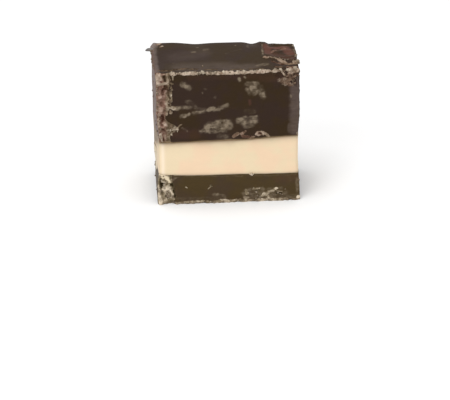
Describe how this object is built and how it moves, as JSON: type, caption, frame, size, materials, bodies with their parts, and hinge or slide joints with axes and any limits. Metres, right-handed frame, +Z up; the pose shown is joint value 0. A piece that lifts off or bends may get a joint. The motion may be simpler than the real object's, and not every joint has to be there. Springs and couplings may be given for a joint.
{
  "type": "layered chocolate fudge slice",
  "caption": "Square-cut slice of layered fudge: thick dark chocolate over pale cream over a thinner dark base, with torn, crumbly edges.",
  "frame": {"origin": "middle of the flat underside that the slice stands on", "axes": "+Z up through the layers, front cut face towards -Y, width along X with the torn edge at -X"},
  "size_m": [0.0539, 0.0301, 0.0513],
  "materials": {
    "base_fudge": "dense dark chocolate fudge, satin where cut, dry and crumbly where torn",
    "cream_fudge": "smooth pale cream fudge, softly waxy",
    "top_fudge": "dense dark chocolate fudge, satin where cut, reddish brown and crumbly where torn"
  },
  "bodies": {
    "root": {"base_fudge_layer": "base_fudge", "cream_fudge_layer": "cream_fudge", "top_fudge_layer": "top_fudge"}
  },
  "joints": []
}
